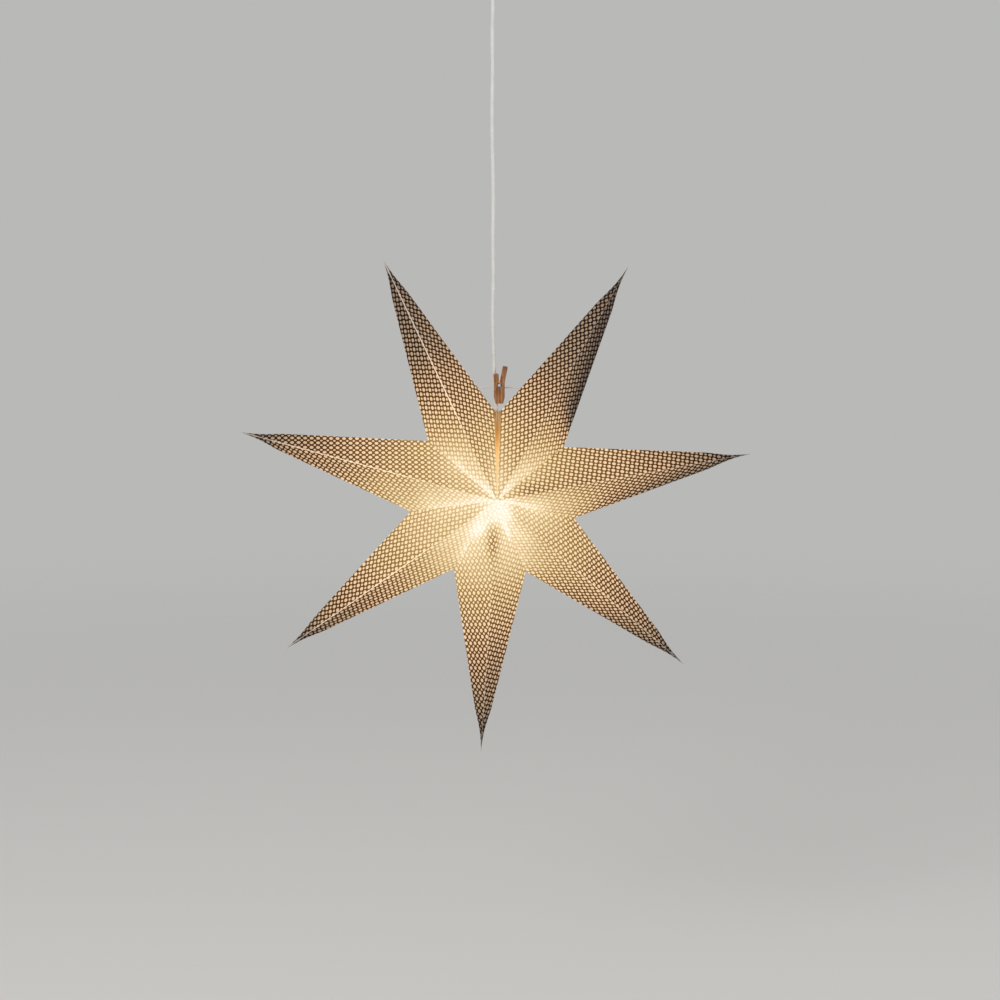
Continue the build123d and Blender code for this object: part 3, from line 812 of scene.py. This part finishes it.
@dataclass
class PaperPoint:
    """One point of the star: a sheet folded to four facets, with glue flaps at the valleys."""

    plan: PointPlan
    index: int
    shape: StarShape
    light: Lamplight
    cuts: int = 29
    wave: float = 0.8 * MM
    wave_length: float = 45 * MM
    wave_step: float = 3.7
    stiff_edge: float = 12 * MM
    tail: float = 52 * MM
    tail_pinch: float = 0.78
    tail_stretch: float = 4 * MM
    flap_bend: float = 75 * MM
    meeting: float = 0.95
    cord_entry: float = 95 * MM
    cord_room: float = 3.6 * MM
    # Where the painted ridge highlight starts and widens, and how much wider it grows on the tail
    shine_start: float = 70 * MM
    shine_rise: float = 50 * MM
    tail_shine: float = 6.0
    shine_tail: float = 24 * MM
    centre: Vector = field(init=False)
    outward: Vector = field(init=False)
    clockwise: Vector = field(init=False)
    tip: Vector = field(init=False)
    hubs: list[Vector] = field(init=False)
    notch_ways: list[Vector] = field(init=False)
    inside: Vector = field(init=False)
    ridge: float = field(init=False)
    edge_slope: float = field(init=False)

    def __post_init__(self) -> None:
        """Work out the fold's corner points from the star's sizes."""
        shape = self.shape
        angle = shape.tip_angle(self.index)
        self.centre = Vector((0, 0, STAR_Z))
        self.outward = shape.direction(angle)
        self.clockwise = shape.direction(angle - 90)
        self.tip = self.centre + self.outward * shape.tip_radius
        self.hubs = [self.centre + Vector((0, y, 0)) for y in (-shape.half_depth, shape.half_depth)]
        self.notch_ways = [shape.direction(angle + turn) for turn in (shape.pitch / 2, -shape.pitch / 2)]
        self.inside = self.centre + self.outward * shape.notch_radius
        self.ridge = (self.tip - self.hubs[0]).length
        side_edge = self.centre + self.notch_ways[0] * shape.notch_radius - self.tip
        self.edge_slope = math.tan((self.hubs[0] - self.tip).angle(side_edge))

    def fold_place(self, place: Vector, front: bool) -> tuple[float, float]:
        """Where a point lies on the flattened sheet.

        Args:
            place: Point on the sheet.
            front: Whether it is on a front facet.

        Returns:
            Distance from the ridge, and along it from the hub.
        """
        hub = self.hubs[0 if front else 1]
        ridge = (self.tip - hub).normalized()
        along = (place - hub).dot(ridge)
        return ((place - hub) - ridge * along).length, along

    def facets(self, mesh: bmesh.types.BMesh) -> None:
        """Make the four facets, divide them, and let the card cockle and end in a thin tail.

        Args:
            mesh: Empty mesh that takes them.
        """
        tip = mesh.verts.new(self.tip)
        notches = [mesh.verts.new(self.centre + way * self.shape.notch_radius) for way in self.notch_ways]
        for hub_place in self.hubs:
            hub = mesh.verts.new(hub_place)
            for notch in notches:
                mesh.faces.new((hub, notch, tip))
        mesh.normal_update()
        for face in mesh.faces:
            if face.normal.dot(face.calc_center_median() - self.inside) < 0:
                face.normal_flip()
        for edge in mesh.edges:
            edge.smooth = False
        bmesh.ops.subdivide_edges(mesh, edges=mesh.edges[:], cuts=self.cuts, use_grid_fill=True)
        mesh.normal_update()
        folded = {vert for edge in mesh.edges if not edge.smooth for vert in edge.verts}
        for vert in mesh.verts:
            if vert not in folded:
                self.cockle(vert)
        # The highlit ridge line keeps its place on the sheet, so that is noted before the end is drawn out
        from_ridge = mesh.verts.layers.float.new("from_ridge")
        for vert in mesh.verts:
            vert[from_ridge] = self.fold_place(vert.co, vert.co.y < 0)[0]
            self.pinch(vert)
        mesh.normal_update()

    def cockle(self, vert: bmesh.types.BMVert) -> None:
        """Push one point of a facet in or out, less near the folds.

        Args:
            vert: Point to move.
        """
        aside, along = self.fold_place(vert.co, vert.co.y < 0)
        room = min(aside, (self.ridge - along) * self.edge_slope - aside)
        share = max(0.0, min(1.0, room / self.stiff_edge))
        swell = noise.noise(vert.co / self.wave_length + Vector((self.index * self.wave_step, 0, 0)))
        vert.co += vert.normal * (self.wave * share * swell)

    def pinch(self, vert: bmesh.types.BMVert) -> None:
        """Draw the end of the point into a thin tail, where the glued edges meet.

        Args:
            vert: Point to move.
        """
        reach = (vert.co - self.centre).dot(self.outward)
        drawn = eased(reach, self.shape.tip_radius - self.tail, self.shape.tip_radius)
        axis = self.centre + self.outward * reach
        narrowed = axis + (vert.co - axis) * (1 - self.tail_pinch * drawn)
        vert.co = narrowed + self.outward * (self.tail_stretch * drawn)

    def valley_point(self, way: Vector, sign: int, reach: float, below: float = 0.0) -> Vector:
        """Point on a valley fold, or straight below it towards the star's plane.

        Args:
            way: Direction of the valley's notch.
            sign: -1 at the front, 1 at the back.
            reach: Distance from the star's axis.
            below: Distance below the fold.

        Returns:
            The point, from the star's centre.
        """
        depth = self.shape.half_depth * (1 - reach / self.shape.notch_radius) - below
        return way * reach + Vector((0, sign * max(depth, 0.0), 0))

    def flap_corners(self, way: Vector, sign: int, lean: Vector | None) -> list[list[Vector]]:
        """Corners of one strip folded in along a valley, in two lengths.

        Args:
            way: Direction of the notch that the valley runs to.
            sign: -1 at the front, 1 at the back.
            lean: Direction that the free edge leans to, at the open seam.

        Returns:
            Four corners for each length, from the star's centre.
        """
        shape = self.shape
        near, far = shape.flap_start, self.flap_bend
        end = shape.notch_radius - shape.flap_width * shape.valley / shape.half_depth
        drop = shape.flap_width * shape.valley / shape.notch_radius
        leaning, corner = way, self.valley_point(way, sign, end, drop)
        if lean is not None:
            leaning = way.lerp(lean, self.meeting)
            corner = leaning * self.cord_entry + Vector((0, sign * self.cord_room, 0))
        free_near, free_far = [self.valley_point(leaning, sign, reach, drop) for reach in (near, far)]
        fold_near, fold_far = [self.valley_point(way, sign, reach) for reach in (near, far)]
        return [
            [fold_near, fold_far, free_far, free_near],
            [fold_far, way * shape.notch_radius, corner, free_far],
        ]

    def flaps(self, mesh: bmesh.types.BMesh) -> set[bmesh.types.BMFace]:
        """Make the strips folded in along the valleys, leaning together at the open seam.

        Args:
            mesh: Mesh that takes them.

        Returns:
            The faces of the strips.
        """
        made = set()
        for side, way in enumerate(self.notch_ways):
            at_seam = (self.index, side) in ((0, 0), (self.shape.points - 1, 1))
            lean = self.shape.direction(90.0 - self.shape.lean) if at_seam else None
            for sign in (-1, 1):
                for corners in self.flap_corners(way, sign, lean):
                    face = mesh.faces.new([mesh.verts.new(self.centre + corner) for corner in corners])
                    face.normal_update()
                    if face.normal.dot(self.inside - face.calc_center_median()) > 0:
                        face.normal_flip()
                    face.material_index = 1
                    made.add(face)
        return made

    def print_place(self, across: float, along: float) -> tuple[float, float]:
        """Place on the printed sheet, whose dots are turned against the ridge."""
        turn = math.radians(self.plan.print_turn)
        return (across * math.sin(turn) + along * math.cos(turn),
                across * math.cos(turn) - along * math.sin(turn))

    def ridge_highlight_width(self, along: float) -> float:
        """Width of the painted ridge highlight, from nothing by the hub to the most on the tail.

        Args:
            along: Distance along the ridge from the hub.

        Returns:
            The width as a share of the widest highlit ridge.
        """
        on_tail = max(0.0, 1 - (self.ridge - along) / self.shine_tail)
        fade = max(0.0, min(1.0, (along - self.shine_start) / self.shine_rise))
        return self.plan.ridge_shine * fade * (1 + self.tail_shine * self.plan.ridge_shine * on_tail)

    def mark(self, mesh: bmesh.types.BMesh, flaps: set[bmesh.types.BMFace]) -> None:
        """Write the sheet's print, fold, lamplight and painted ridge highlight values on its faces.

        Args:
            mesh: Finished sheet.
            flaps: Its faces that lie inside the star.
        """
        from_ridge = mesh.verts.layers.float["from_ridge"]
        print_map = mesh.loops.layers.uv.new("print")
        fold_map = mesh.loops.layers.uv.new("fold")
        light = mesh.loops.layers.float.new("lamplight")
        ridge_shine = mesh.loops.layers.float.new("ridge_highlight_width")
        for face in mesh.faces:
            middle = face.calc_center_median()
            on_clockwise = (middle - self.centre).dot(self.clockwise) >= 0
            share = self.plan.clockwise if on_clockwise else self.plan.anticlockwise
            normal = Vector() if face in flaps else face.normal
            for loop in face.loops:
                aside, along = self.fold_place(loop.vert.co, middle.y < 0)
                across = aside if on_clockwise else -aside
                width = max(self.shape.paper, (self.ridge - along) * self.edge_slope)
                taken = share.at(along / self.ridge, min(1.0, aside / width))
                loop[print_map].uv = self.print_place(across, along)
                loop[fold_map].uv = (math.copysign(loop.vert[from_ridge], across), along)
                loop[light] = self.light.level(loop.vert.co, normal, taken)
                # Width of the painted ridge highlight, none on the flaps inside
                loop[ridge_shine] = 0.0 if face in flaps else self.ridge_highlight_width(along)
            face.smooth = True

    def build(self, materials: list[Material]) -> bpy.types.Object:
        """Make the folded sheet as one piece on the lantern.

        Args:
            materials: Printed outside, raw inside and raw rim.

        Returns:
            The finished object.
        """
        mesh = bmesh.new()
        self.facets(mesh)
        self.mark(mesh, self.flaps(mesh))
        piece = finish_mesh(mesh, f"paper_{self.plan.node}", materials)
        wall = piece.modifiers.new("card", "SOLIDIFY")
        wall.thickness = self.shape.paper
        wall.offset = -1.0
        wall.material_offset = 1
        wall.material_offset_rim = 1
        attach(piece, "lantern")
        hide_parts(self.plan.node)
        return piece


@dataclass
class StarLantern:
    """The seven paper points and the wire across their seam."""

    shape: StarShape
    nodes: Nodes

    def build(self) -> None:
        """Fold every point and coat the wire."""
        raw = RawPaper().build()
        materials = [PrintedPaper().build(), raw, raw]
        light = Lamplight()
        for index, corner in enumerate(Corner):
            piece = PaperPoint(corner.value, index, self.shape, light).build(materials)
            LOG.info("folded %s", piece.name)
        dress(self.nodes, WIRE_COATING, "closing_wire")


@dataclass
class HangingCord:
    """The white round cord: a held stub in the rose, then the stretches above and below the peg."""

    diameter: float = 4.6 * MM
    upper_length: float = 0.445
    lower_length: float = 0.0835
    roundness: int = 5
    smoothness: int = 12

    def upper_route(self) -> list[Vector]:
        """The hanging stretch, with the slight set that a cord keeps from its coil."""
        places = [
            (0.0, CORD_TOP), (-0.0002, CORD_TOP - 0.030), (-0.0012, -0.142), (-0.0004, -0.178),
            (-0.0016, -0.241), (0.0004, -0.313), (-0.0006, -0.366), (0.0003, -0.411),
            (-0.0013, -0.456), (0.0, -0.492), (0.0006, -0.510), (0.0008, STAR_Z + 0.133),
        ]
        return [Vector((x, 0.0, z)) for x, z in places]

    def lower_route(self) -> list[Vector]:
        """The stretch from inside the peg through the seam to the lampholder."""
        places = [(0.0008, 0.133), (0.0012, 0.121), (0.0034, 0.106), (0.0034, 0.050)]
        return [Vector((x, 0.0, STAR_Z + z)) for x, z in places]

    def tail_route(self) -> list[Vector]:
        """The straight stretch from the cord grip up into the rose."""
        low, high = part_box("cord_tail")
        return [Vector((0.0, 0.0, z)) for z in (low[2], (low[2] + high[2]) / 2, high[2])]

    def spline(self, name: str, route: list[Vector], material: Material) -> bpy.types.Object:
        """Make one smooth round cord.

        Args:
            name: Object's name.
            route: Control points.
            material: The cord's finish.

        Returns:
            The curve object.
        """
        curve = bpy.data.curves.new(name, "CURVE")
        curve.dimensions = "3D"
        curve.bevel_depth = self.diameter / 2
        curve.bevel_resolution = self.roundness
        curve.resolution_u = self.smoothness
        curve.use_fill_caps = True
        line = curve.splines.new("NURBS")
        line.points.add(len(route) - 1)
        for point, place in zip(line.points, route):
            point.co = (*place, 1.0)
        line.order_u = 3
        line.use_endpoint_u = True
        curve.materials.append(material)
        piece = bpy.data.objects.new(name, curve)
        bpy.context.scene.collection.objects.link(piece)
        return piece

    def stretch(self, node: str, body: str, route: list[Vector], material: Material) -> bpy.types.Object:
        """Run one stretch of cord in place of its CAD solid.

        Args:
            node: CAD node that it replaces.
            body: Body that it moves with.
            route: Control points, from where it leaves the object.
            material: The cord's finish.

        Returns:
            The curve object.
        """
        piece = self.spline(f"sheath_{node}", route, material)
        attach(piece, body)
        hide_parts(node)
        LOG.info("ran %s", piece.name)
        return piece

    def build(self) -> None:
        """Run the stretches in the rose, above the peg and below it."""
        sheath, lit = CORD_SHEATH.build(), LAMPLIT_SHEATH.build()
        above, below = self.upper_route(), self.lower_route()
        stub = self.stretch("cord_tail", "ceiling_rose", self.tail_route(), sheath)
        hanging = self.stretch("cord_upper", "cord", above, sheath)
        leading = self.stretch("cord_lower", "lantern", below, lit)


@dataclass
class SpringPeg:
    """The small wooden peg on the cord."""

    nodes: Nodes

    def build(self) -> None:
        """Dress the arms and the coil."""
        dress(self.nodes, PegWood(), "peg_arm_left", "peg_arm_right")
        dress(self.nodes, SPRING_STEEL, "peg_spring")


@dataclass
class Lamp:
    """The lampholder and its bulb inside the star."""

    nodes: Nodes

    def build(self) -> None:
        """Dress every piece of the lamp."""
        dress(self.nodes, UREA_RESIN, "holder_cap", "holder_body")
        dress(self.nodes, PORCELAIN, "contact_insert")
        dress(self.nodes, DRAWN_BRASS, "thread_shell", "centre_contact", "clamp_screw")
        dress(self.nodes, NICKEL_PLATE, "bulb_cap", "bulb_stud")
        dress(self.nodes, BulbGlass(), "bulb_glass", "bulb_stem")
        dress(self.nodes, LitFilament(), "bulb_filaments")


@dataclass
class CeilingRose:
    """The ceiling cup, its fixings and the cord grip."""

    nodes: Nodes

    def build(self) -> None:
        """Dress every piece of the rose."""
        dress(self.nodes, WHITE_ABS, "ceiling_cup", "cord_grip")
        dress(self.nodes, POLYAMIDE, "terminal_block")
        dress(self.nodes, ZINC_PLATE, "mounting_strap", "side_screws", "grip_nipple", "grip_locknut")
        dress(self.nodes, TURNED_BRASS, "terminal_tubes", "terminal_screws")
        dress(self.nodes, CORE_INSULATION, "core_wires")
        dress(self.nodes, SOFT_RUBBER, "bend_protector")


@dataclass(frozen=True)
class SoftLamp:
    """A square studio lamp turned to the star: its name, place, side and power in watts."""

    name: str
    place: tuple[float, float, float]
    side: float
    power: float

    def build(self) -> None:
        """Hang the lamp."""
        data = bpy.data.lights.new(self.name, "AREA")
        data.size = self.side
        data.energy = self.power
        lamp = bpy.data.objects.new(self.name, data)
        lamp.location = self.place
        lamp.rotation_euler = (Vector((0, 0, STAR_Z)) - lamp.location).to_track_quat("-Z", "Y").to_euler()
        bpy.context.scene.collection.objects.link(lamp)


@dataclass
class Studio:
    """Pale floor, soft light and the camera at the photograph's angle, with angles in degrees."""

    floor_z: float = -1.30
    floor_radius: float = 12.0
    floor_sides: int = 64
    floor_roughness: float = 0.9
    floor_fade: tuple[float, float] = (1.0, 4.5)
    floor_colour: str = "#f0efec"
    background: str = "#b9b9b8"
    daylight: str = "#ffffff"
    daylight_strength: float = 0.45
    key: SoftLamp = SoftLamp("key", (-1.8, -2.2, 0.9), 1.6, 34.0)
    side_light: SoftLamp = SoftLamp("fill", (2.2, -1.6, 0.1), 2.0, 14.0)
    distance: float = 2.0
    azimuth: float = -3.57
    elevation: float = 6.12
    focal_px: float = 1735.0
    image_px: float = 1000.0
    sensor_mm: float = 36.0
    aside: float = -0.0075
    above: float = 0.0063

    def floor(self) -> None:
        """Lay a pale floor that fades into the background."""
        # Painted studio floor: pale, even and without gloss
        material, tree, shader = start_material("pale_floor")
        set_inputs(tree, shader, {"Base Color": srgb(self.floor_colour), "Roughness": self.floor_roughness})
        place = add_node(tree, "ShaderNodeTexCoord")
        reach = add_node(tree, "ShaderNodeVectorMath", {"operation": "DISTANCE"}, {1: (0, 0, self.floor_z)},
                         {0: place.outputs["Object"]})
        fade = add_node(tree, "ShaderNodeMapRange", {"interpolation_type": "SMOOTHSTEP"},
                        {"From Min": self.floor_fade[0], "From Max": self.floor_fade[1]},
                        {"Value": reach.outputs["Value"]})
        clear = add_node(tree, "ShaderNodeBsdfTransparent")
        mixed = add_node(tree, "ShaderNodeMixShader", links={
            0: fade.outputs["Result"], 1: shader.outputs["BSDF"], 2: clear.outputs["BSDF"]})
        set_inputs(tree, tree.nodes["Material Output"], links={"Surface": mixed.outputs["Shader"]})
        mesh = bmesh.new()
        bmesh.ops.create_circle(mesh, cap_ends=True, segments=self.floor_sides, radius=self.floor_radius)
        bmesh.ops.translate(mesh, verts=mesh.verts[:], vec=(0, 0, self.floor_z))
        finish_mesh(mesh, "floor", [material])

    def world(self) -> None:
        """Light everything evenly, before a plain grey that gloss and glass show too."""
        world = bpy.data.worlds.new("studio")
        bpy.context.scene.world = world
        world.use_nodes = True
        tree = world.node_tree
        light = tree.nodes["Background"]
        set_inputs(tree, light, {"Color": srgb(self.daylight), "Strength": self.daylight_strength})
        shown = add_node(tree, "ShaderNodeBackground",
                         values={"Color": srgb(self.background), "Strength": 1.0})
        path = add_node(tree, "ShaderNodeLightPath")
        mirrored = add_node(tree, "ShaderNodeMath", {"operation": "MAXIMUM"}, links={
            0: path.outputs["Is Glossy Ray"], 1: path.outputs["Is Transmission Ray"]})
        seen = add_node(tree, "ShaderNodeMath", {"operation": "MAXIMUM"}, links={
            0: path.outputs["Is Camera Ray"], 1: mirrored.outputs["Value"]})
        mixed = add_node(tree, "ShaderNodeMixShader", links={
            0: seen.outputs["Value"], 1: light.outputs["Background"], 2: shown.outputs["Background"]})
        set_inputs(tree, tree.nodes["World Output"], links={"Surface": mixed.outputs["Shader"]})

    def camera(self) -> None:
        """Stand the camera where the photograph was taken from."""
        turn, rise = math.radians(self.azimuth), math.radians(self.elevation)
        back = Vector((math.sin(turn) * math.cos(rise), -math.cos(turn) * math.cos(rise), math.sin(rise)))
        facing = (-back).to_track_quat("-Z", "Y")
        right, up = facing @ Vector((1, 0, 0)), facing @ Vector((0, 1, 0))
        data = bpy.data.cameras.new("camera")
        data.sensor_width = self.sensor_mm
        data.lens = self.focal_px / self.image_px * self.sensor_mm
        camera = bpy.data.objects.new("camera", data)
        camera.location = Vector((0, 0, STAR_Z)) + back * self.distance - right * self.aside - up * self.above
        camera.rotation_euler = facing.to_euler()
        bpy.context.scene.collection.objects.link(camera)
        bpy.context.scene.camera = camera

    def build(self) -> None:
        """Set up floor, light, camera and view transform."""
        self.floor()
        self.world()
        self.key.build()
        self.side_light.build()
        self.camera()
        bpy.context.scene.view_settings.view_transform = "Standard"


def main() -> None:
    """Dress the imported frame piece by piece."""
    logging.basicConfig(level=logging.INFO, format="%(name)s: %(message)s")
    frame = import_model()
    nodes = frame["nodes"]
    Studio().build()
    HangingCord().build()
    StarLantern(StarShape(), nodes).build()
    SpringPeg(nodes).build()
    Lamp(nodes).build()
    CeilingRose(nodes).build()


if __name__ == "__main__":
    main()
